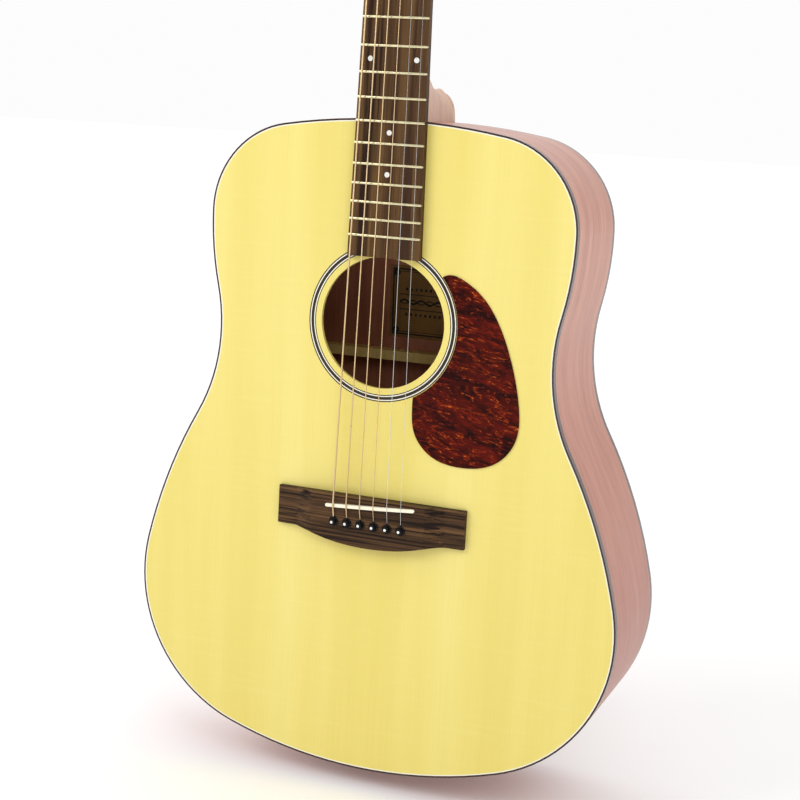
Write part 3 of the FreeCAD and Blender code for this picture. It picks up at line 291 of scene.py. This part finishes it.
def plastic(name, colour, rough=0.2, coat=0.3, vary=0.12):
    """Moulded or cast plastic with faint flow tone and handling haze."""
    s = Shader(name)
    cloud = s.noise(s.scaled((60, 60, 60)), 1, 4, 0.6)
    haze = s.noise(s.scaled((700, 700, 700)), 1, 2, 0.6)
    base = s.mix(s.math("MULTIPLY", s.range(cloud, 0.3, 0.7), vary), colour,
                 [min(1.0, v * 1.6 + 0.01) for v in colour])
    s.set(Base_Color=base, Roughness=s.range(haze, 0.25, 0.75, rough, rough + 0.12),
          Coat_Weight=coat, Coat_Roughness=0.08, Specular_IOR_Level=0.3)
    s.bump(haze, 0.04, 0.00004)
    return s.mat


def metal(name, colour, rough=0.18, brush=(300, 300, 300), brass_behind=None):
    """Plated or drawn metal with brushed roughness and dull spots; brass behind a given level."""
    s = Shader(name)
    if brass_behind is not None:
        x, y, z = s.axes()
        level = s.math("ADD", s.math("MULTIPLY", y, TILT_COS), s.math("MULTIPLY", z, -TILT_SIN))
        colour = s.mix(s.math("GREATER_THAN", level, brass_behind), colour, srgb(206, 170, 100))
    lines = s.noise(s.scaled(brush), 1, 3, 0.6)
    dull = s.noise(s.scaled((90, 90, 90)), 1, 3, 0.6)
    base = s.mix(s.range(dull, 0.45, 0.8, 0.0, 0.3), colour, srgb(150, 146, 136))
    s.set(Base_Color=base, Metallic=1.0, Roughness=s.range(lines, 0.25, 0.75, rough, rough + 0.14))
    s.bump(lines, 0.05, 0.00003)
    return s.mat


def bone():
    """Polished bone with faint streaks across the piece."""
    s = Shader("bone")
    streak = s.noise(s.scaled((120, 600, 120)), 1, 3, 0.6)
    base = s.mix(s.range(streak, 0.35, 0.75, 0.0, 0.5), srgb(250, 243, 222), srgb(226, 212, 176))
    s.set(Base_Color=base, Roughness=s.range(streak, 0.3, 0.7, 0.22, 0.34))
    s.bump(streak, 0.06, 0.00005)
    return s.mat


def pearl():
    """Mother-of-pearl with soft shifts of tint."""
    s = Shader("pearl")
    wave = s.noise(s.scaled((500, 500, 500)), 1, 3, 0.5, 1.5)
    base = s.ramp(wave, [(0.3, srgb(200, 214, 210)), (0.5, srgb(240, 238, 230)),
                         (0.7, srgb(226, 210, 216))], True)
    s.set(Base_Color=base, Roughness=s.range(wave, 0.3, 0.7, 0.14, 0.26), Coat_Weight=0.6,
          Coat_Roughness=0.05)
    s.bump(wave, 0.05, 0.00004)
    return s.mat


def wound(name, colour, pitch):
    """Wrap wire seen along the string, with painted shade in the grooves between the turns."""
    s = Shader(name)
    x, y, z = s.axes()
    turn = s.math("FRACT", s.math("DIVIDE", z, pitch))
    ridge = s.math("SINE", s.math("MULTIPLY", turn, math.pi))
    dull = s.noise(s.scaled((60, 60, 60)), 1, 3, 0.6)
    # Painted shade: darker in the grooves between the wrap turns, lighter on their crowns.
    base = s.mix(s.range(ridge, 0.0, 0.6), [v * 0.45 for v in colour], colour)
    base = s.mix(s.range(dull, 0.5, 0.8, 0.0, 0.3), base, [v * 0.7 for v in colour])
    s.set(Base_Color=base, Metallic=1.0, Roughness=s.range(dull, 0.2, 0.8, 0.24, 0.40))
    s.bump(ridge, 0.6, 0.00008)
    return s.mat


def pin_black(first, step, level, front):
    """Black pins in a row along x from first, with a white dot on each head ahead of front."""
    s = Shader("pin_black")
    x, y, z = s.axes()
    place = s.math("DIVIDE", s.math("SUBTRACT", x, first), step)
    near = s.math("MULTIPLY", s.math("SUBTRACT", place, s.math("ROUND", place)), step)
    up = s.math("SUBTRACT", z, level)
    reach = s.math("SQRT", s.math("ADD", s.math("MULTIPLY", near, near), s.math("MULTIPLY", up, up)))
    dot = s.math("MULTIPLY", s.math("LESS_THAN", reach, PIN_DOT_RADIUS), s.math("LESS_THAN", y, front))
    haze = s.noise(s.scaled((600, 600, 600)), 1, 3, 0.6)
    base = s.mix(dot, s.mix(haze, srgb(10, 10, 11), srgb(26, 25, 26)), srgb(240, 240, 236))
    s.set(Base_Color=base, Roughness=s.range(haze, 0.3, 0.7, 0.16, 0.28), Specular_IOR_Level=0.15)
    s.bump(haze, 0.03, 0.00003)
    return s.mat


def paper_label(low, high):
    """Aged paper toned down in part as painted shade; double border, corner roundels, frieze, no lettering.
    """
    s = Shader("label_paper")
    x, y, z = s.axes()
    side = s.math("MINIMUM", s.math("SUBTRACT", x, low[0]), s.math("SUBTRACT", high[0], x))
    end = s.math("MINIMUM", s.math("SUBTRACT", z, low[2]), s.math("SUBTRACT", high[2], z))
    edge = s.math("MINIMUM", side, end)
    middle = s.math("SUBTRACT", z, (low[2] + high[2]) / 2)
    offset = s.math("ABSOLUTE", middle)

    def inside(shape, margin):
        return s.math("MULTIPLY", shape, s.math("GREATER_THAN", edge, margin))

    across = s.math("SUBTRACT", side, 0.006)
    along = s.math("SUBTRACT", end, 0.006)
    corner = s.math("SQRT", s.math("ADD", s.math("MULTIPLY", across, across),
                                   s.math("MULTIPLY", along, along)))
    wave = s.math("MULTIPLY", s.math("SINE", s.math("MULTIPLY", x, 420)), 0.0016)
    row = s.math("COMPARE", offset, 0.0105, 0.0011)
    bead = s.math("GREATER_THAN", s.math("SINE", s.math("MULTIPLY", x, 1500)), 0.1)
    marks = [s.math("COMPARE", edge, 0.0030, 0.0006),
             s.math("COMPARE", edge, 0.0050, 0.00025),
             s.math("COMPARE", corner, 0.0020, 0.0009),
             inside(s.math("COMPARE", middle, wave, 0.0009), 0.009),
             inside(s.math("COMPARE", middle, s.math("MULTIPLY", wave, -1), 0.0005), 0.009),
             inside(s.math("COMPARE", offset, 0.0062, 0.00035), 0.009),
             inside(s.math("MULTIPLY", row, bead), 0.012)]
    ink = marks[0]
    for mark in marks[1:]:
        ink = s.math("MAXIMUM", ink, mark)
    fibre = s.noise(s.scaled((400, 400, 400)), 1, 5, 0.7)
    stain = s.noise(s.scaled((25, 25, 25)), 1, 3, 0.6)
    # Paper tone: partly the aged paper's own colour, partly painted shade for the dim inside of the body.
    base = s.mix(s.range(stain, 0.35, 0.7), srgb(150, 112, 56), srgb(120, 86, 38))
    base = s.mix(s.math("MULTIPLY", fibre, 0.2), base, srgb(96, 68, 32))
    base = s.mix(ink, base, srgb(34, 26, 20))
    s.set(Base_Color=base, Roughness=s.range(fibre, 0.2, 0.8, 0.75, 0.9))
    s.bump(fibre, 0.15, 0.00005)
    return s.mat


SPRUCE = spruce_top()
# The sides get painted shade, darker towards the bottom of the body.
SIDES = mahogany("mahogany_ribs", (5, 70, 5), srgb(206, 138, 112), srgb(168, 97, 75), 0.3, 0.15, tail_shade=0.62)
BACK = mahogany("mahogany_back", (75, 5, 4), srgb(192, 126, 96), srgb(146, 84, 62), 0.3, 0.15, True)
# Pale tone: partly the neck's own satin mahogany colour, partly painted sheen for the satin shine.
NECK = mahogany("mahogany_neck", (80, 80, 5), srgb(228, 192, 168), srgb(200, 154, 128), 0.42, 0.0, neck=True)
BRACES = mahogany("brace_spruce", (120, 120, 6), srgb(238, 210, 132), srgb(216, 182, 98), 0.6, 0.0)
BOARD = rosewood("rosewood_board", (110, 110, 3))
BRIDGE_WOOD = rosewood("rosewood_bridge", (7, 170, 420), (108, 78, 50), (22, 14, 11), (46, 32, 23))
FACE_WOOD = rosewood("rosewood_headplate", (110, 110, 5))
TORTOISE = tortoise()
BINDING = plastic("binding_brown", srgb(52, 25, 20), 0.2, 0.25, 0.3)
PURFLING = plastic("purfling_cream", srgb(238, 236, 214), 0.3, 0.1)
ROSETTE_DARK = plastic("rosette_dark", srgb(40, 24, 18), 0.3, 0.05, 0.3)
BONE = bone()
PEARL = pearl()
FRET = metal("fret_wire", srgb(226, 216, 176), 0.16, (40, 900, 900))
NICKEL = metal("nickel", srgb(206, 202, 192), 0.14)
POST = metal("post_and_wheel", srgb(206, 202, 192), 0.14, brass_behind=WHEEL_LEVEL)
STEEL = metal("plain_steel", srgb(214, 214, 214), 0.18, (300, 300, 20))
PAPER = paper_label(*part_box("label"))
PIN_LOW, PIN_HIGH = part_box("bridge_pins")
PINS = pin_black(first=PIN_LOW[0] + PIN_RADIUS, step=(PIN_HIGH[0] - PIN_LOW[0] - 2 * PIN_RADIUS) / 5,
                 level=(PIN_LOW[2] + PIN_HIGH[2]) / 2, front=PIN_LOW[1] + PIN_DOT_DEPTH)
BLACK = plastic("end_pin_black", srgb(14, 14, 15), 0.14, 0.4)

LOOKS = {
    "soundboard": SPRUCE, "back": BACK, "side_bass": SIDES, "side_treble": SIDES,
    "top_linings": BRACES, "back_linings": BRACES, "neck_block": BRACES, "tail_block": BRACES,
    "x_braces": BRACES, "soundboard_braces": BRACES, "bridge_plate": BRACES, "back_braces": BRACES,
    "top_binding": BINDING, "back_binding": BINDING, "top_purfling": PURFLING,
    "rosette_light": PURFLING, "rosette_dark": ROSETTE_DARK, "pickguard": TORTOISE,
    "bridge": BRIDGE_WOOD, "saddle": BONE, "nut": BONE, "bridge_pins": PINS, "label": PAPER,
    "end_pin": BLACK, "neck": NECK, "heel_cap": NECK, "neck_bolts": STEEL, "truss_rod": STEEL,
    "truss_rod_nut": STEEL, "fingerboard": BOARD, "frets": FRET, "fret_markers": PEARL,
    "headplate": FACE_WOOD, "tuner_bushings": NICKEL, "tuner_screws": NICKEL, "tuner_plates": NICKEL,
}
BRONZE = [wound(f"bronze_wrap_{number}", srgb(236, 206, 160), pitch)
          for number, pitch in enumerate(WRAP_PITCHES, start=1)]
for number in STRINGS:
    string = BRONZE[number - 1] if number <= WOUND_STRINGS else STEEL
    LOOKS[f"string_{number}"] = string
    LOOKS[f"string_winding_{number}"] = string
    LOOKS[f"tuner_post_{number}"] = POST
    LOOKS[f"tuner_key_{number}"] = NICKEL
for name, node in NODES.items():
    for place in node.material_slots:
        place.material = LOOKS[name]


# ---------------------------------------------------------------- eased edges
def ease(name, width, angle=35, segments=3):
    """Rounds the sharp edges of a piece."""
    edge = NODES[name].modifiers.new("eased_edges", "BEVEL")
    edge.width = width
    edge.segments = segments
    edge.limit_method = "ANGLE"
    edge.angle_limit = math.radians(angle)
    edge.harden_normals = True


for name, width in (("back_braces", 0.003), ("bridge", 0.0006), ("saddle", 0.0003), ("nut", 0.0004),
                    ("headplate", 0.0003), ("fingerboard", 0.0003), ("pickguard", 0.0002),
                    ("top_binding", 0.0005), ("back_binding", 0.0005)):
    ease(name, width)

# ---------------------------------------------------------------- string coils
def tube(name, points, radius, sides=12):
    """Round wire along a list of points, closed at both ends with small domes."""
    mesh = bmesh.new()
    ahead = [(points[min(i + 1, len(points) - 1)] - points[max(i - 1, 0)]).normalized()
             for i in range(len(points))]
    frames, spin = [], ahead[0].orthogonal().normalized()
    for place, way in zip(points, ahead):
        spin = (spin - way * spin.dot(way)).normalized()
        frames.append((place, spin.copy(), way.cross(spin), radius))
    first, last = frames[0], frames[-1]
    for step, share in ((0.55, 0.8), (0.9, 0.4)):
        frames.insert(0, (points[0] - ahead[0] * radius * step, first[1], first[2], radius * share))
        frames.append((points[-1] + ahead[-1] * radius * step, last[1], last[2], radius * share))
    rows = [[mesh.verts.new(place + (a * math.cos(t) + b * math.sin(t)) * size)
             for t in (math.tau * k / sides for k in range(sides))] for place, a, b, size in frames]
    for low_row, high_row in zip(rows, rows[1:]):
        for k in range(sides):
            mesh.faces.new((low_row[k], low_row[(k + 1) % sides], high_row[(k + 1) % sides], high_row[k]))
    mesh.faces.new(list(reversed(rows[0])))
    mesh.faces.new(rows[-1])
    data = bpy.data.meshes.new(name)
    mesh.to_mesh(data)
    mesh.free()
    data.shade_smooth()
    piece = bpy.data.objects.new(name, data)
    bpy.context.scene.collection.objects.link(piece)
    return piece


def coil(number):
    """One continuous coil of string round its post, from where the string arrives."""
    rings = [v.co.copy() for v in NODES[f"string_winding_{number}"].data.vertices]
    line = [v.co.copy() for v in NODES[f"string_{number}"].data.vertices]
    joint = next(j for j in frame["record"]["behaviour"]["joints"]
                 if j["name"] == f"tuner_post_{number}_turn")
    centre, axis = Vector(joint["pos_m"]), Vector((0, TILT_COS, -TILT_SIN))
    side = -1 if centre.x < 0 else 1
    inward, upward = Vector((-side, 0, 0)), Vector((0, TILT_SIN, TILT_COS))
    levels = [(v - centre).dot(axis) for v in rings]
    far = max((v - centre).cross(axis).length for v in rings)
    near = min((v - centre).cross(axis).length for v in rings)
    radius, reach = (far - near) / 2, (far + near) / 2
    touch = far + 0.0003
    end = [v for v in line if (v - centre).cross(axis).length < touch]
    arrive = sum(((v - centre).dot(axis) for v in end)) / len(end)
    start = sum((math.atan2((v - centre).dot(upward), (v - centre).dot(inward)) for v in end)) / len(end)
    last = max(levels) - radius
    points = []
    steps = int(COIL_TURNS * COIL_STEPS)
    for step in range(steps + 1):
        share = step / steps
        angle = start + math.tau * COIL_TURNS * share
        level = arrive + (last - arrive) * share
        points.append(centre + axis * level + (inward * math.cos(angle) + upward * math.sin(angle)) * reach)
    piece = tube(f"string_coil_{number}", points, radius)
    piece.data.materials.append(LOOKS[f"string_winding_{number}"])
    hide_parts(f"string_winding_{number}")
    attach(piece, f"post_{number}")


for number in STRINGS:
    coil(number)

# ---------------------------------------------------------------- floor, light and camera
FLOOR_SIZE, FLOOR_GAP = 60, 0.0005
bpy.ops.mesh.primitive_plane_add(size=FLOOR_SIZE, location=(0, 0, CAD_BOX[0][2] - FLOOR_GAP))
floor = bpy.context.object
floor.name = "floor"
paint = Shader("floor_white")
tone = paint.noise(paint.scaled((2, 2, 2)), 1, 2)
spot = paint.axes()
away = paint.math("SQRT", paint.math("ADD", paint.math("MULTIPLY", spot[0], spot[0]),
                                     paint.math("MULTIPLY", spot[1], spot[1])))
glow = paint.range(away, 0.6, 3.5, 0.08, 0.26)
paint.set(Base_Color=paint.ramp(tone, [(0.3, 0.90), (0.7, 0.92)]), Roughness=0.9, Specular_IOR_Level=0.0,
          Emission_Color=(1, 1, 1), Emission_Strength=glow)
floor.data.materials.append(paint.mat)

world = bpy.data.worlds.new("studio")
bpy.context.scene.world = world
world.use_nodes = True
sky = world.node_tree
paint_sky = sky.nodes["Background"]
facing = sky.nodes.new("ShaderNodeTexCoord").outputs["Generated"]


def sky_ramp(direction, stops):
    """Grey level that changes with the angle from one direction."""
    dot = sky.nodes.new("ShaderNodeVectorMath")
    dot.operation = "DOT_PRODUCT"
    dot.inputs[1].default_value = direction
    sky.links.new(facing, dot.inputs[0])
    ramp = sky.nodes.new("ShaderNodeValToRGB")
    ramp.color_ramp.interpolation = "EASE"
    for point, (place, level) in zip(ramp.color_ramp.elements, stops):
        point.position = place
        point.color = (level, level, level, 1)
    sky.links.new(dot.outputs["Value"], ramp.inputs[0])
    return ramp.outputs[0]


# White behind the guitar, grey in front of it, and a soft glow from overhead.
behind = sky_ramp(Vector((-0.25, 0.97, 0.0)), [(0.0, 0.42), (0.7, 0.98)])
above = sky_ramp(Vector((0, 0, 1)), [(0.15, 0.0), (0.85, 0.45)])
both = sky.nodes.new("ShaderNodeMix")
both.data_type = "RGBA"
both.blend_type = "ADD"
both.inputs[0].default_value = 1.0
sky.links.new(behind, both.inputs[6])
sky.links.new(above, both.inputs[7])
paint_sky.inputs[1].default_value = 1.0
sky.links.new(both.outputs[2], paint_sky.inputs[0])


def softbox(name, place, aim, width, power):
    """Square studio light at a place, aimed at a point."""
    lamp = bpy.data.lights.new(name, "AREA")
    lamp.shape = "SQUARE"
    lamp.size = width
    lamp.energy = power
    holder = bpy.data.objects.new(name, lamp)
    bpy.context.scene.collection.objects.link(holder)
    holder.location = place
    holder.rotation_euler = (Vector(aim) - Vector(place)).to_track_quat("-Z", "Y").to_euler()


BODY_MIDDLE = (0, 0, 0.35)
softbox("key", (-2.2, -2.2, 2.2), BODY_MIDDLE, 1.8, 44)
softbox("fill", (1.4, -2.4, 2.4), BODY_MIDDLE, 1.6, 20)

# The camera orbits TARGET; angles are in degrees from the front, above level and about its view.
AZIMUTH, ELEVATION, ROLL = (math.radians(v) for v in (20.854, 9.973, -3.274))
DISTANCE = 1.2252
SENSOR_MM, LENS_MM = 36, 72.6597
TARGET = Vector((0.01805, -0.0625, 0.3001))
back = Vector((math.sin(AZIMUTH) * math.cos(ELEVATION), -math.cos(AZIMUTH) * math.cos(ELEVATION),
               math.sin(ELEVATION)))
right = Vector((math.cos(AZIMUTH), math.sin(AZIMUTH), 0))
up = back.cross(right)
side_axis = right * math.cos(ROLL) - up * math.sin(ROLL)
up_axis = right * math.sin(ROLL) + up * math.cos(ROLL)
camera = bpy.data.objects.new("camera", bpy.data.cameras.new("camera"))
bpy.context.scene.collection.objects.link(camera)
camera.data.sensor_width = SENSOR_MM
camera.data.lens = LENS_MM
camera.data.clip_start = 0.05
turn = Matrix((side_axis, up_axis, back)).transposed()
camera.matrix_world = Matrix.Translation(TARGET + back * DISTANCE) @ turn.to_4x4()
bpy.context.scene.camera = camera
bpy.context.scene.view_settings.view_transform = "Standard"
